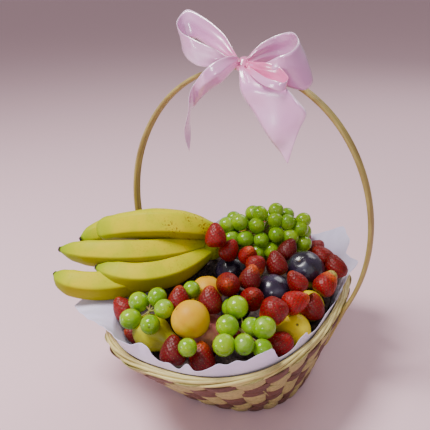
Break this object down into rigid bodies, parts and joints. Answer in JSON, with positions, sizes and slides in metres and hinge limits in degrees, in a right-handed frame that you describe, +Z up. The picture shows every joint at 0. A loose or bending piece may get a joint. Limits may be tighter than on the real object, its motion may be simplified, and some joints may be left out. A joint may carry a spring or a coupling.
{
  "type": "fruit gift basket",
  "caption": "Oval woven gift basket with a fixed hoop handle and satin bow, lined with tissue and heaped with bananas, grapes, plums, apricots, peach, pear and strawberries.",
  "frame": {"origin": "centre of the basket's flat base, on the surface it stands on", "axes": "+Z up; +X across the basket, in the plane of the hoop handle; -Y towards the basket's front, where the bow's tails hang"},
  "size_m": [0.3871, 0.392, 0.4732],
  "materials": {
    "cane": "satin, split cane",
    "wood_chip": "matt, woven chip",
    "tissue": "soft tissue paper",
    "paper": "matt shredded paper",
    "satin": "satin ribbon",
    "banana_skin": "satin skin",
    "grape_skin": "glossy skin with bloom",
    "plum_skin": "glossy dark skin",
    "apricot_skin": "velvety skin",
    "peach_skin": "velvety skin",
    "pear_skin": "satin skin",
    "strawberry_skin": "glossy seeded skin"
  },
  "bodies": {
    "root": {"apricot_01": "apricot_skin", "apricot_02": "apricot_skin", "apricot_03": "apricot_skin", "apricot_04": "apricot_skin", "apricot_05": "apricot_skin", "apricot_06": "apricot_skin", "apricot_07": "apricot_skin", "banana_hand": "banana_skin", "basket_wall": "wood_chip", "bow": "satin", "grape_01": "grape_skin", "grape_02": "grape_skin", "grape_bunch_back": "grape_skin", "grape_bunch_front": "grape_skin", "grape_bunch_left": "grape_skin", "hoop_handle": "cane", "paper_bed": "paper", "peach_01": "peach_skin", "pear_01": "pear_skin", "plum_01": "plum_skin", "plum_02": "plum_skin", "plum_03": "plum_skin", "plum_04": "plum_skin", "plum_05": "plum_skin", "plum_06": "plum_skin", "rim": "cane", "strawberry_01": "strawberry_skin", "strawberry_02": "strawberry_skin", "strawberry_03": "strawberry_skin", "strawberry_04": "strawberry_skin", "strawberry_05": "strawberry_skin", "strawberry_06": "strawberry_skin", "strawberry_07": "strawberry_skin", "strawberry_08": "strawberry_skin", "strawberry_09": "strawberry_skin", "strawberry_10": "strawberry_skin", "strawberry_11": "strawberry_skin", "strawberry_12": "strawberry_skin", "strawberry_13": "strawberry_skin", "strawberry_14": "strawberry_skin", "strawberry_15": "strawberry_skin", "strawberry_16": "strawberry_skin", "strawberry_17": "strawberry_skin", "strawberry_18": "strawberry_skin", "strawberry_19": "strawberry_skin", "strawberry_20": "strawberry_skin", "strawberry_21": "strawberry_skin", "strawberry_22": "strawberry_skin", "strawberry_23": "strawberry_skin", "strawberry_24": "strawberry_skin", "strawberry_25": "strawberry_skin", "strawberry_26": "strawberry_skin", "strawberry_27": "strawberry_skin", "strawberry_28": "strawberry_skin", "strawberry_29": "strawberry_skin", "strawberry_30": "strawberry_skin", "strawberry_31": "strawberry_skin", "tissue_liner": "tissue"}
  },
  "joints": []
}
